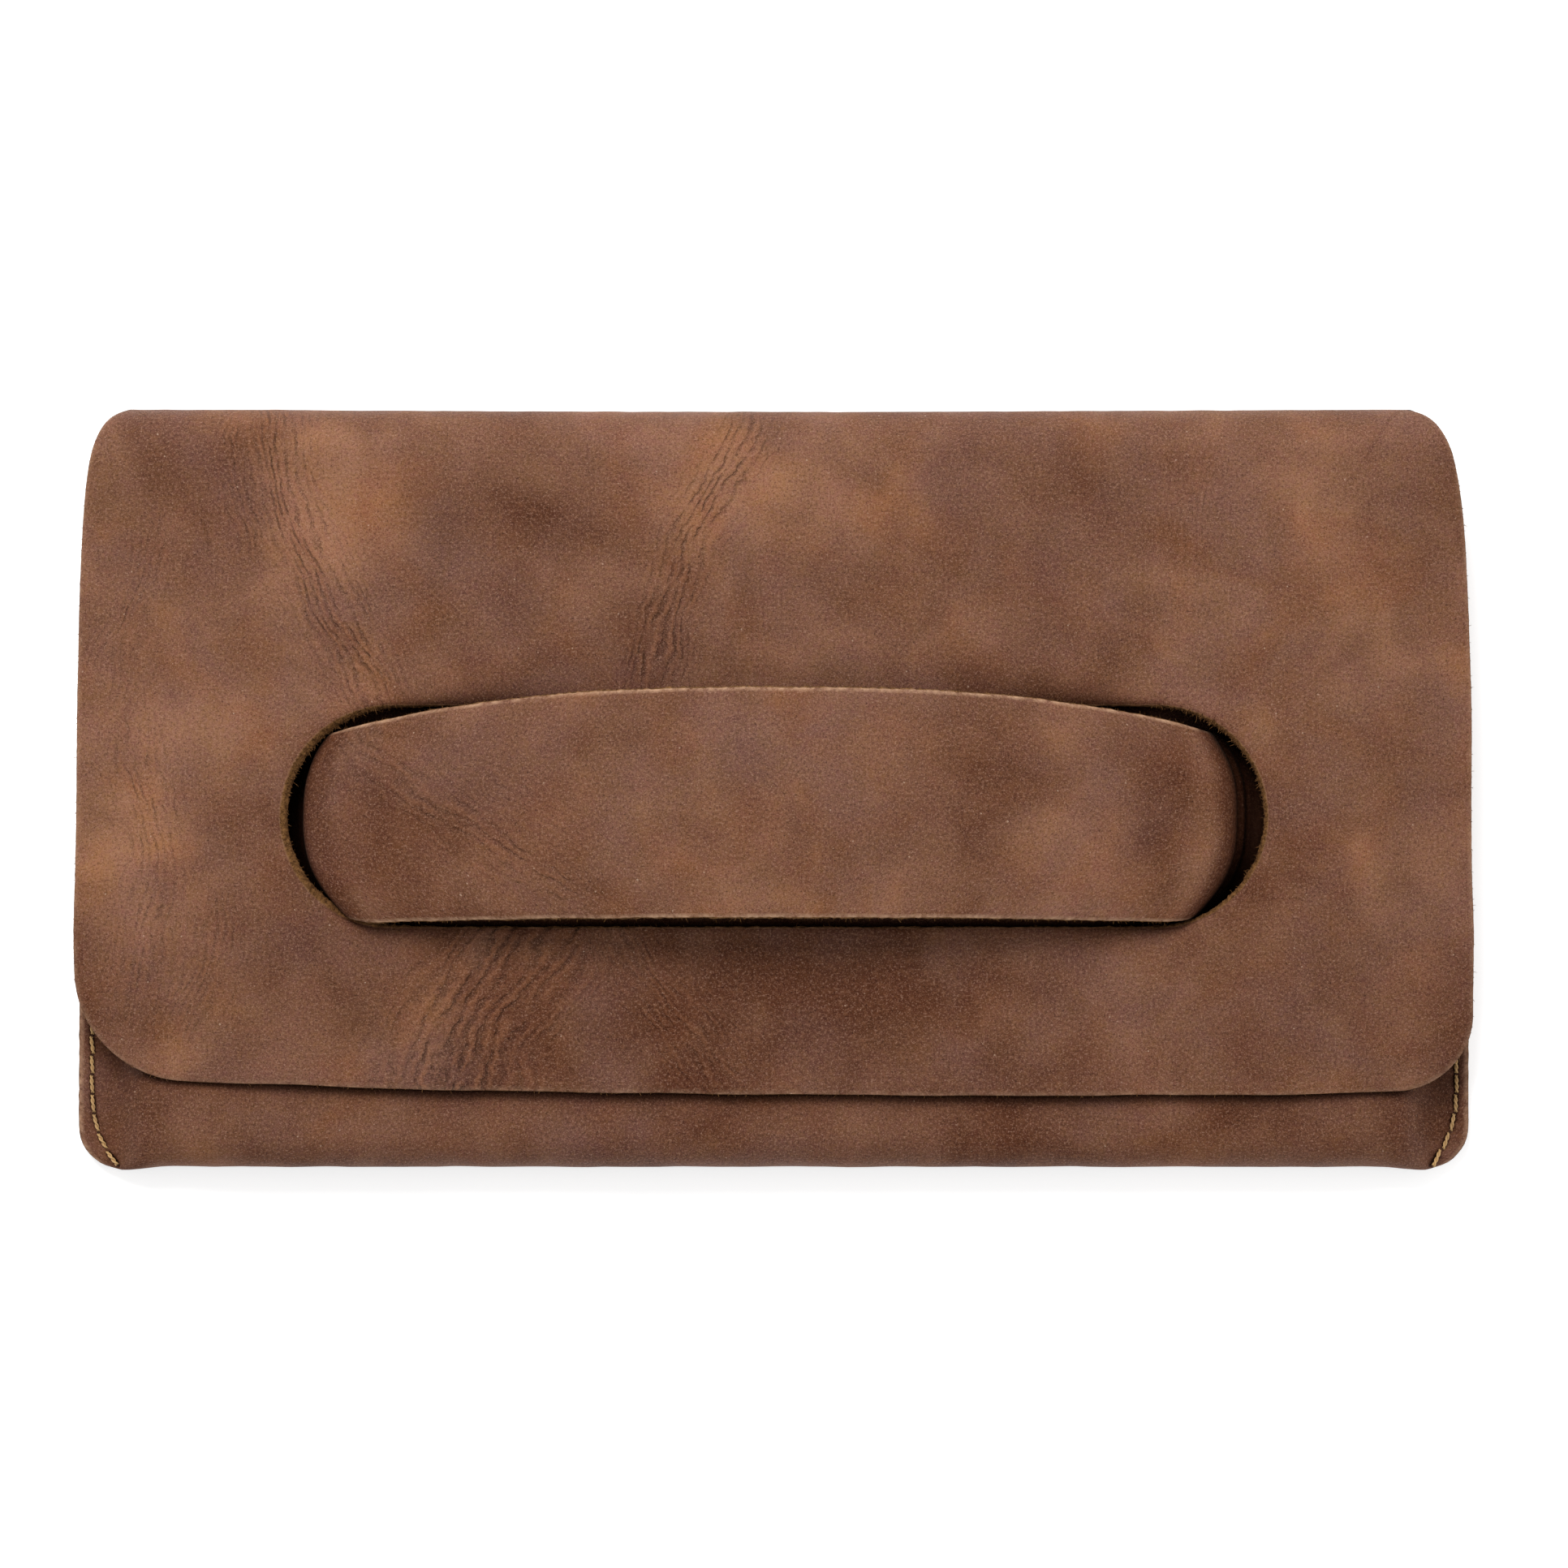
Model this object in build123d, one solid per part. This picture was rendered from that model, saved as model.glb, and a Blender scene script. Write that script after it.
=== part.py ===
from build123d import *

# Leather brush case that closes with a flap: a folded and side-sewn pouch, a flap with a long
# slot, and a hand strap that comes up through the slot and holds the flap shut.
#
# The case lies on its back. X runs along its width, +Y points at the fold that carries the flap,
# and Z is its thickness. The origin is the centre of the outer back face, so the case rests on
# Z = 0.
import os
from math import atan2, degrees, hypot

# Driving dimensions, in millimetres.
HIDE = 2.0               # thickness of the hide that every panel is cut from
HIDE_WIDTH = 280.0       # pouch and flap, over both side edges
CASE_LENGTH = 153.0      # bottom fold to top fold
CASE_THICKNESS = 20.0    # back face to the top of the closed flap
POUCH_THICKNESS = 15.0   # back face to the front panel's outer face
SEAM_WIDTH = 4.5         # flat margin where front and back are sewn together
SWELL = 20.0             # width over which the front panel rises from a seam to full thickness
POUCH_CORNER = 9.0       # radius of the sewn margin's bottom corners
MOUTH_Y = 48.0           # top edge of the front panel
FLAP_TIP_Y = -61.5       # free edge of the flap
FLAP_CORNER = 20.0
SHOULDER_Y = 30.0        # where the side edges start to draw in towards the top fold
SHOULDER_IN = 3.7        # how far they have drawn in where the fold starts to turn
FOLD_WIDTH = 258.0       # width at the very edge of the top fold
SLOT_LENGTH = 198.0
SLOT_HEIGHT = 45.0
SLOT_Y = -5.6            # centre line of the slot
STRAP_Y = -7.5           # centre line of the strap's sewn ends
STRAP_WIDTH = 35.2       # width of those ends
STRAP_BOW = 9.0          # how much further the middle of its upper edge reaches
STRAP_SPAN = 189.2       # between the outer faces of the strap's two risers
STRAP_SPRING = 4.0       # height of the arch's two ends above the flap
STRAP_CROWN = 13.0       # height of its middle above the flap
TAB_LENGTH = 32.0        # sewn end of the strap, half of it beyond the riser
TAB_INSIDE = 10.0        # how far it reaches inwards from the riser
THREAD = 0.7
STITCH_PITCH = 4.2
STITCH_GAP = 0.3         # free leather between two stitches
NEEDLE_CLEARANCE = 0.3   # across the holes that the strap's thread runs through
CHANNELS = 8             # brush channels side by side inside the pouch
CHANNEL_PITCH = 28.0
CHANNEL_FLAT = 4.0       # flat strip between two channels, where the stitching runs
CHANNEL_RISE = 7.4       # free height at the middle of a channel
POCKET_SKIN = 1.4
POCKET_SPAN = (-64.0, 2.0)
BAND_SKIN = 1.2
BAND_SPAN = (20.0, 40.0)

# Places that follow from them.
HALF_WIDTH = HIDE_WIDTH / 2
FOLD_Y = CASE_LENGTH / 2
FOLD_RADIUS = CASE_THICKNESS / 2
FOLD_CENTRE_Y = FOLD_Y - FOLD_RADIUS
BOTTOM_RADIUS = POUCH_THICKNESS / 2
SEAM_X = HALF_WIDTH - SEAM_WIDTH
RISER_X = STRAP_SPAN / 2
TAB_X = RISER_X - TAB_INSIDE + TAB_LENGTH / 2
FAR = 200.0              # further than any part of the case


def prism(outline, low, high):
    """Solid that fills a closed outline in plan, from Z = low to Z = high."""
    return extrude(Pos(0, 0, low) * make_face(outline), high - low)


def across(face):
    """Solid that carries a face drawn in (Y, Z) through the whole width."""
    return extrude(Plane.YZ * face, HALF_WIDTH, both=True)


def along(face, low, high):
    """Solid that carries a face drawn in (X, Z) from Y = low to Y = high."""
    return Pos(0, high, 0) * extrude(Plane.XZ * face, high - low)


def hide_outline(tip_y, corner):
    """Plan of a panel that ends at Y = tip_y and draws in towards the top fold."""
    turn = (HALF_WIDTH - SHOULDER_IN, FOLD_CENTRE_Y)
    low_side = Line((HALF_WIDTH, tip_y + corner), (HALF_WIDTH, SHOULDER_Y))
    shoulder = TangentArc((HALF_WIDTH, SHOULDER_Y), turn, tangent=(0, 1))
    top_corner = TangentArc(turn, (FOLD_WIDTH / 2, FOLD_Y), tangent=shoulder % 1)
    tip = Line((0, tip_y), (HALF_WIDTH - corner, tip_y))
    low_corner = CenterArc((HALF_WIDTH - corner, tip_y + corner), corner, -90, 90)
    fold = Line((0, FOLD_Y), (FOLD_WIDTH / 2, FOLD_Y))
    right = tip + low_corner + low_side + shoulder + top_corner + fold
    return right + mirror(right, about=Plane.YZ)


def fold_quarter(side):
    """Half of the rolled top fold: its lower half for side -1, its upper half for +1."""
    ring = Circle(FOLD_RADIUS) - Circle(FOLD_RADIUS - HIDE)
    quadrant = Pos(FOLD_RADIUS / 2, side * FOLD_RADIUS / 2) * Rectangle(FOLD_RADIUS, FOLD_RADIUS)
    return across(Pos(FOLD_CENTRE_Y, FOLD_RADIUS) * (ring & quadrant))


def mirrored_face(right):
    """Face in (X, Z) from the corners of its right half, bottom to top."""
    left = [(-x, z) for x, z in reversed(right)]
    return make_face(Polyline(*right, *left, close=True))


def bullet(radius, top):
    """Face in (Y, Z) of a slab that ends in the round bottom fold and reaches up to Y = top."""
    centre_y = BOTTOM_RADIUS - FOLD_Y
    slab = Rectangle(top - centre_y, 2 * radius)
    centred = Circle(radius) + Pos((top - centre_y) / 2, 0) * slab
    return Pos(centre_y, BOTTOM_RADIUS) * centred


def case_shell():
    """Pouch and back panel: one hide, folded at the bottom and sewn to itself at both sides."""
    margin = [(HALF_WIDTH, 0), (HALF_WIDTH, 2 * HIDE), (SEAM_X, 2 * HIDE)]
    outer = mirrored_face(margin + [(SEAM_X - SWELL, POUCH_THICKNESS)])
    hollow = mirrored_face([(SEAM_X, HIDE), (SEAM_X - SWELL, POUCH_THICKNESS - HIDE)])
    pouch = along(outer, -FAR, FAR) & across(bullet(BOTTOM_RADIUS, MOUTH_Y))
    pouch -= along(hollow, -FAR, FAR) & across(bullet(BOTTOM_RADIUS - HIDE, FAR))
    back = along(Pos(0, HIDE / 2) * Rectangle(HIDE_WIDTH, HIDE), 0, FOLD_CENTRE_Y)
    outline = hide_outline(-FOLD_Y, POUCH_CORNER)
    return (pouch + back + fold_quarter(-1)) & prism(outline, 0, FAR)


def flap():
    """Cover panel with its slot, and the upper half of the rolled top fold."""
    outline = hide_outline(FLAP_TIP_Y, FLAP_CORNER)
    panel = prism(outline, CASE_THICKNESS - HIDE, CASE_THICKNESS)
    panel -= Pos(0, FOLD_CENTRE_Y + FAR / 2, 0) * Box(2 * FAR, FAR, FAR)
    slot = Pos(0, SLOT_Y) * SlotOverall(SLOT_LENGTH, SLOT_HEIGHT)
    panel -= extrude(slot, 2 * CASE_THICKNESS)
    return panel + (fold_quarter(1) & prism(outline, 0, FAR))


def bridge_outline(inset):
    """Plan of the strap's arched part: bowed edges, and round ends that clear the slot's ends."""
    half = STRAP_WIDTH / 2 - inset
    upper, lower = STRAP_Y + half, STRAP_Y - half
    upper_x, lower_x = RISER_X - 6.1 - inset, RISER_X - 9.1 - inset
    end = RISER_X - inset
    top = ThreePointArc((-upper_x, upper), (0, upper + STRAP_BOW), (upper_x, upper))
    right = ThreePointArc((upper_x, upper), (end, STRAP_Y), (lower_x, lower))
    bottom = Line((lower_x, lower), (-lower_x, lower))
    left = ThreePointArc((-lower_x, lower), (-end, STRAP_Y), (-upper_x, upper))
    return top + right + bottom + left


def under_arch(depth):
    """Everything from the tabs up to the arched surface that lies depth below the strap's top."""
    spring = CASE_THICKNESS + STRAP_SPRING - depth
    crown = CASE_THICKNESS + STRAP_CROWN - depth
    arch = ThreePointArc((-RISER_X, spring), (0, crown), (RISER_X, spring))
    feet = [(RISER_X, POUCH_THICKNESS), (-RISER_X, POUCH_THICKNESS)]
    legs = Polyline((RISER_X, spring), *feet, (-RISER_X, spring))
    return along(make_face(arch + legs), -FAR, FAR)


def hand_strap():
    """One strip of leather: two sewn tabs, a riser at each end of the slot, and the arch."""
    strap = prism(bridge_outline(0), POUCH_THICKNESS, FAR) & under_arch(0)
    strap -= prism(bridge_outline(HIDE), 0, FAR) & under_arch(HIDE)
    strap -= Box(2 * (RISER_X - TAB_INSIDE), FAR, FAR) & under_arch(HIDE)
    tab = extrude(RectangleRounded(TAB_LENGTH, STRAP_WIDTH, 3), HIDE)
    for side in (-1, 1):
        strap += Pos(side * TAB_X, STRAP_Y, POUCH_THICKNESS) * tab
    return strap - strap_stitches(-1, NEEDLE_CLEARANCE) - strap_stitches(1, NEEDLE_CLEARANCE)


def stitch_row(points, low, high, clearance=0.0):
    """Stitches along a line in plan, each a closed link of thread round Z = low to Z = high.

    With a clearance they are instead the holes that such links run through.
    """
    length = STITCH_PITCH - STITCH_GAP
    outside = Box(length + clearance, THREAD + clearance, high - low + 2 * THREAD)
    inside = Box(length - 2 * THREAD - clearance, 2 * THREAD, high - low + 3 * clearance)
    link = Pos(0, 0, (low + high) / 2) * (outside - inside)
    row = []
    for (x0, y0), (x1, y1) in zip(points, points[1:]):
        run = hypot(x1 - x0, y1 - y0)
        turned = Rot(0, 0, degrees(atan2(y1 - y0, x1 - x0))) * link
        count = round(run / STITCH_PITCH)
        for i in range(count):
            share = (i + 0.5) / count
            row.append(Pos(x0 + share * (x1 - x0), y0 + share * (y1 - y0)) * turned)
    return Compound(row)


def side_stitches(side):
    """Thread of one side seam, flush with the back and proud of the front by half its size."""
    seam_x = HALF_WIDTH - SEAM_WIDTH / 2
    corner_y = POUCH_CORNER - FOLD_Y
    points = [(side * seam_x, MOUTH_Y - 4), (side * seam_x, corner_y)]
    points.append((side * (seam_x - 1.8), corner_y - 3.9))
    return stitch_row(points, THREAD, 2 * HIDE - THREAD / 2)


def strap_stitches(side, clearance=0.0):
    """Thread of one tab: a box of stitches beyond the riser, through the tab and the front."""
    near, far = side * (RISER_X + 4), side * (RISER_X + 18.5)
    low, high = STRAP_Y - 14, STRAP_Y + 14
    corners = [(near, low), (far, low), (far, high), (near, high), (near, low)]
    return stitch_row(corners, POUCH_THICKNESS - HIDE, POUCH_THICKNESS + HIDE, clearance)


def channel_lines():
    """X of every row of stitching between and beside the brush channels."""
    return [(i - CHANNELS / 2) * CHANNEL_PITCH for i in range(CHANNELS + 1)]


def arch_face(half, rise):
    """Face between a straight base and the arc over it."""
    arc = ThreePointArc((-half, 0), (0, rise), (half, 0))
    return make_face(arc + Line((half, 0), (-half, 0)))


def channel_sheet(skin, span):
    """Sheet sewn down in strips to the inside of the back, arched over each brush channel."""
    half = (CHANNEL_PITCH - CHANNEL_FLAT) / 2
    arch = arch_face(half + skin, CHANNEL_RISE + skin) - arch_face(half, CHANNEL_RISE)
    lines = channel_lines()
    profile = Sketch()
    for x in lines:
        profile += Pos(x, HIDE + skin / 2) * Rectangle(CHANNEL_FLAT, skin)
    for x in lines[:-1]:
        profile += Pos(x + CHANNEL_PITCH / 2, HIDE) * arch
    return along(profile, *span)


def channel_stitches(skin, span):
    """Rows of thread that sew a channel sheet to the back, flush with the outer back face."""
    low, high = span
    links = []
    for x in channel_lines():
        links += stitch_row([(x, low + 1.5), (x, high - 1.5)], THREAD, HIDE + skin).solids()
    return Compound(links)


def write(name, shape):
    """Writes one sub-part as parts/NAME.step."""
    export_step(shape, os.path.join("parts", name + ".step"))


os.makedirs("parts", exist_ok=True)
write("case_shell", case_shell())
write("flap", flap())
write("hand_strap", hand_strap())
write("side_thread_left", side_stitches(-1))
write("side_thread_right", side_stitches(1))
write("strap_thread_left", strap_stitches(-1))
write("strap_thread_right", strap_stitches(1))
write("brush_pocket", channel_sheet(POCKET_SKIN, POCKET_SPAN))
write("brush_band", channel_sheet(BAND_SKIN, BAND_SPAN))
write("pocket_thread", channel_stitches(POCKET_SKIN, POCKET_SPAN))
write("band_thread", channel_stitches(BAND_SKIN, BAND_SPAN))
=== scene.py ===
"""Looks of the leather brush case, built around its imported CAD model.

Lengths are millimetres until a mesh is made, and metres in Blender. The case lies on its back:
X is its width, +Y the top fold, and +Z the side that faces the camera.

Both hide pieces share one flat pattern, so that one leather runs over them. A pattern point is
(x, v): v is the distance along the hide, up the flap, round the top fold, down the back, round
the bottom fold and up the front. The strap has a place of its own in the pattern.
"""

import math
from typing import NamedTuple

import bmesh
import bpy
import numpy as np
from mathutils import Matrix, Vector


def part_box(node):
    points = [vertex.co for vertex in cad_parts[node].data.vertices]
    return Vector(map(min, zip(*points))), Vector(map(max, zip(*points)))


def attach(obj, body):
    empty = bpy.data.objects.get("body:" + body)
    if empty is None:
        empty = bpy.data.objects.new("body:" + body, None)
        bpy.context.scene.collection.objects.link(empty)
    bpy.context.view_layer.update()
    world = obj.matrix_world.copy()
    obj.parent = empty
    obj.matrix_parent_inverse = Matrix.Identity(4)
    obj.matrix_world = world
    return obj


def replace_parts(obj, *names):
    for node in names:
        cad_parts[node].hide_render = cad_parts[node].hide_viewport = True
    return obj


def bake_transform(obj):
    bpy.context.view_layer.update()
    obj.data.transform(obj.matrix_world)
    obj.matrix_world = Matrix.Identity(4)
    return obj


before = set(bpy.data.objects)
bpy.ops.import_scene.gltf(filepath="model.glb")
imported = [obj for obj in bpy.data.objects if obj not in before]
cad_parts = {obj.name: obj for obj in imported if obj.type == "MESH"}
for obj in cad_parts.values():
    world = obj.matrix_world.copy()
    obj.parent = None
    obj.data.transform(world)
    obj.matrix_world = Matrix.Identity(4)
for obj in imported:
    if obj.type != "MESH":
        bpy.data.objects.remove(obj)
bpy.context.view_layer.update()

MM = 0.001


def node_box(node):
    """A CAD node's lowest and highest corners, in millimetres."""
    low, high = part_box(node)
    return np.array(low) / MM, np.array(high) / MM


CASE_LOW, CASE_HIGH = node_box("case_shell")
STRAP_LOW, STRAP_HIGH = node_box("hand_strap")
TAB_THREAD_LOW, TAB_THREAD_HIGH = node_box("strap_thread_right")
POCKET_LOW, POCKET_HIGH = node_box("brush_pocket")
BAND_LOW, BAND_HIGH = node_box("brush_band")

HIDE = 2.0                       # thickness of the leather
HALF = CASE_HIGH[0]              # half the case's width
FOLD_Y = CASE_HIGH[1]            # outermost line of the top fold
EAR = 0.9                        # how far the bottom corners reach below the bottom fold
BOTTOM_Y = CASE_LOW[1] - EAR     # lowest line of the sewn margin
TOP_Z = node_box("flap")[1][2]   # outer face of the closed flap
POUCH_Z = STRAP_LOW[2]           # outer face of the pouch's front
FOLD_R = TOP_Z / 2
FOLD_CY = FOLD_Y - FOLD_R
FOLD_END_V = FOLD_CY + math.pi * FOLD_R   # where the pattern passes from the fold to the back
MOUTH_Y = node_box("side_thread_right")[1][1] + 4.0   # top edge of the front panel
SEAM_Z = 2 * HIDE                # outer face of the sewn margin
SEAM_X = 138.3                   # line of the side seam
CORNER = 9.0                     # radius of the margin's bottom corners
SLOT_Y = -5.6                    # the slot's middle line
SLOT_R = 22.5                    # radius of its round ends
SLOT_X = 99.0 - SLOT_R           # centre of each round end of the slot
RISER_X = 94.6                   # where the strap comes up through the slot
TAB_X = STRAP_HIGH[0]            # outer end of the strap's sewn tabs
STRAP_V = 400                    # the strap's place in the flat pattern
PRESSED = 3.2                    # how far the strap's sewn tabs press the front panel in
PITCH = 4.0                      # stitch length
SHARP_ANGLE = math.radians(50)


# --- noise and curves

LATTICE = 256                    # points along each side of the noise's repeating lattice


def lattice(seed):
    """Unit gradient vectors on a repeating square lattice."""
    angle = np.random.default_rng(seed).uniform(0, 2 * math.pi, (LATTICE, LATTICE))
    return np.cos(angle), np.sin(angle)


def noise(x, y, scale, seed, octaves=1):
    """Smooth noise of about -1 to 1 over points in millimetres; scale is the size of one blob."""
    total = 0.0
    for octave in range(octaves):
        gx, gy = lattice(seed + octave)
        # The shifts keep the lattice's own corner off the middle of the case.
        px = np.asarray(x) * 2 ** octave / scale + 37.2
        py = np.asarray(y) * 2 ** octave / scale + 91.7
        ix, iy = np.floor(px).astype(int), np.floor(py).astype(int)
        fx, fy = px - ix, py - iy
        ux, uy = fx * fx * (3 - 2 * fx), fy * fy * (3 - 2 * fy)
        corner = {}
        for dx in (0, 1):
            for dy in (0, 1):
                cell = ((ix + dx) % LATTICE, (iy + dy) % LATTICE)
                corner[dx, dy] = gx[cell] * (fx - dx) + gy[cell] * (fy - dy)
        low = corner[0, 0] * (1 - ux) + corner[1, 0] * ux
        high = corner[0, 1] * (1 - ux) + corner[1, 1] * ux
        total = total + 1.5 * (low * (1 - uy) + high * uy) / 2 ** octave
    return total


def smooth(low, high, value):
    """0 below low, 1 above high, and a smooth rise between them."""
    t = np.clip((value - low) / (high - low), 0, 1)
    return t * t * (3 - 2 * t)


def bell(value, width):
    """1 at zero, and nearly 0 from twice the width on."""
    return np.exp(-(value / width) ** 2)


def run_along(points):
    """Distance along a line of points, at each one."""
    return np.concatenate([[0], np.cumsum(np.linalg.norm(np.diff(points, axis=0), axis=1))])


def spline(points, count):
    """Points evenly placed along a smooth curve through a few given ones."""
    points = np.array(points, float)
    knots = run_along(points)
    fine = np.linspace(0, knots[-1], count)
    padded = np.vstack([2 * points[0] - points[1], points, 2 * points[-1] - points[-2]])
    index = np.clip(np.searchsorted(knots, fine, side="right") - 1, 0, len(points) - 2)
    t = ((fine - knots[index]) / (knots[index + 1] - knots[index]))[:, None]
    a, b, c, d = (padded[index + k] for k in range(4))
    square, cube = 2 * a - 5 * b + 4 * c - d, 3 * b - a - 3 * c + d
    return 0.5 * (2 * b + (c - a) * t + square * t ** 2 + cube * t ** 3)


def along_curve(x, y, points):
    """(share of the way along, signed distance from) a curve, for each point."""
    curve = spline(points, 60)
    best = np.full(np.shape(x), np.inf)
    share = np.zeros(np.shape(x))
    side = np.zeros(np.shape(x))
    for i, (a, b) in enumerate(zip(curve, curve[1:])):
        run = b - a
        t = ((x - a[0]) * run[0] + (y - a[1]) * run[1]) / (run @ run)
        # The first and last piece go on past the curve's ends.
        t = np.clip(t, -8 if i == 0 else 0, 9 if i == len(curve) - 2 else 1)
        dx, dy = x - a[0] - t * run[0], y - a[1] - t * run[1]
        distance = np.hypot(dx, dy)
        nearer = distance < best
        best = np.where(nearer, distance, best)
        share = np.where(nearer, (i + t) / (len(curve) - 1), share)
        side = np.where(nearer, np.sign(run[0] * dy - run[1] * dx) * distance, side)
    return share, side


# --- creases and tones

class Bundle(NamedTuple):
    """Creases that run side by side in the flat pattern."""
    curve: list             # what the lines follow
    width: float            # half the bundle's width
    strength: float
    pitch: float            # distance between its lines
    layer: int = 0          # bundles of one layer stay clear of each other
    spread: float = 1.0     # how much wider it is at the curve's end


CREASES = [
    Bundle([(-100, 80), (-98, 60), (-92, 43), (-84, 27), (-78, 15)], 7.5, 1.0, 1.7),
    Bundle([(-108, 76), (-107, 60), (-104, 46)], 5, 0.6, 1.5, layer=1),
    Bundle([(-3, 78), (-9, 64), (-17, 50), (-21, 36), (-25, 18)], 6, 1.0, 1.8),
    Bundle([(-42, -22), (-54, -37), (-62, -50), (-66, -68)], 12, 1.3, 2.6, spread=1.4),
    Bundle([(-32, -26), (-27, -36), (-18, -48), (-7, -62)], 7, 0.55, 1.5, layer=1, spread=1.4),
    Bundle([(-128, 16), (-127, 2), (-124, -14), (-126, -30), (-129, -48)], 9, 0.6, 2.0),
    Bundle([(-112, -20), (-113, -36), (-120, -50)], 6, 0.5, 1.6, layer=1, spread=1.2),
    Bundle([(-124, 56), (-126, 44), (-131, 30), (-134, 18)], 7, 0.45, 1.8, layer=1),
    Bundle([(86, 68), (84, 50), (83, 30)], 5, 0.3, 1.6),
    Bundle([(-93, 412), (-80, 405), (-66, 396), (-54, 388), (-40, 378)], 6, 0.65, 2.6),
    Bundle([(-62, 405), (-50, 399), (-38, 390)], 3.5, 0.3, 1.9, layer=1),
]

# Broad patches of the leather: centre and size in the flat pattern, and how much lighter (above
# 0) or darker (below 0) each one is. Most are the leather's own tone; the dark ones just above and
# below the slot and the broad dark ones across the lower flap are painted shade of the arched strap.
TONE_AND_SHADE_PATCHES = [
    (-88, 58, 14, 16, 0.55), (-4, 56, 20, 12, 0.6), (106, 54, 16, 12, 0.6), (-130, -18, 9, 16, 0.8),
    (-112, 22, 14, 20, 0.3), (-68, -47, 14, 9, 0.9), (-122, -52, 12, 8, 0.8), (60, -46, 22, 12, 0.35),
    (72, 36, 12, 20, 0.25), (-114, 60, 12, 14, -0.8), (-44, 56, 22, 9, -0.75), (-24, 36, 6, 14, -0.75),
    (60, 58, 22, 12, -0.55), (20, 42, 18, 8, -0.5), (-30, 27, 26, 8, -0.35), (128, 10, 10, 22, -0.35),
    (20, -38, 40, 9, -0.8), (-92, -40, 10, 12, -0.45), (90, -42, 22, 12, -0.3), (-20, -34, 20, 6, -0.7),
    (0, -56, 80, 9, -0.35), (20, 23, 45, 5, -0.5), (-60, 398, 26, 12, -0.45), (63, 390, 9, 28, 0.55),
    (80, 394, 6, 26, -1.1), (-84, 392, 22, 26, -0.7), (-100, 262, 30, 8, 0.35), (20, 265, 30, 8, -0.4),
    (-126, -5, 14, 40, 0.35), (122, -10, 14, 40, 0.3), (0, -48, 130, 16, -0.75), (40, -30, 90, 12, -0.3),
]


def crease_field(x, v, layer):
    """(lines counted across the bundle, place along it, weight) of a layer's bundles."""
    across, along = np.zeros(np.shape(x)), np.zeros(np.shape(x))
    weight = np.zeros(np.shape(x))
    x, v = x + 0.9 * noise(x, v, 9, 24, 2), v + 0.9 * noise(x, v, 9, 27, 2)
    for i, bundle in enumerate(CREASES):
        if bundle.layer != layer:
            continue
        share, aside = along_curve(x, v, bundle.curve)
        length = run_along(bundle.curve)[-1]
        spread = 1 + (bundle.spread - 1) * np.clip(share, 0, 1)
        ends = smooth(-0.12, 0.14, share) * (1 - smooth(0.86, 1.12, share))
        here = bundle.strength * ends * bell(aside, bundle.width * spread)
        stronger = here > weight
        lines = aside / spread ** 0.6 / bundle.pitch
        lines = lines + 0.9 * noise(aside, share * length / 3, 5, 28 + i)
        across = np.where(stronger, lines + 20 * i, across)
        along = np.where(stronger, share * length, along)
        weight = np.where(stronger, here, weight)
    return across, along, weight


def crease_height(x, v):
    """Height of the hide's broader folds, in millimetres. The material adds the fine lines on them."""
    height = 0.05 * noise(x, v, 6, 23, 2)
    for layer in (0, 1):
        across, along, weight = crease_field(x, v, layer)
        height = height + 0.17 * weight * np.cos(2 * math.pi * across) * smooth(0.6, 1.2, weight)
        height = height + 0.3 * weight * noise(2 * across, along / 4, 4, 21) + 0.15 * weight
    return height


def tone_and_shade_field(x, v):
    """Lighter (above 0) and darker (below 0) regions of the hide: its own tone, with painted shade round
    the strap and on the pouch's front under the flap.
    """
    wx = x + 6 * noise(x, v, 22, 31, 2)
    wv = v + 6 * noise(x, v, 22, 41, 2)
    tone_and_shade = 0.55 * noise(wx, wv, 34, 51, 3) + 0.2 * noise(wx, wv, 9, 56, 2)
    for cx, cv, rx, rv, value in TONE_AND_SHADE_PATCHES:
        tone_and_shade = tone_and_shade + 0.8 * value * np.exp(-((wx - cx) / rx) ** 2 - ((wv - cv) / rv) ** 2)
    # Painted shade: the pouch is darkened round its bottom fold and up its front, for the flap's shadow
    # there.
    painted_flap_shadow = smooth(225, 235, v) * (v < 350)
    return tone_and_shade - 0.45 * painted_flap_shadow


def strap_tone_and_shade_field(length, v):
    """The strap's regions, with painted shade where it bends down through the slot: it is darker there."""
    # Painted shade: the strap is darkened where it bends down into the slot, turned away from the light.
    bend = smooth(87, 95, np.abs(length)) * (1 - smooth(99, 106, np.abs(length)))
    return tone_and_shade_field(length, v) - 1.7 * bend


# --- meshes

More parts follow.
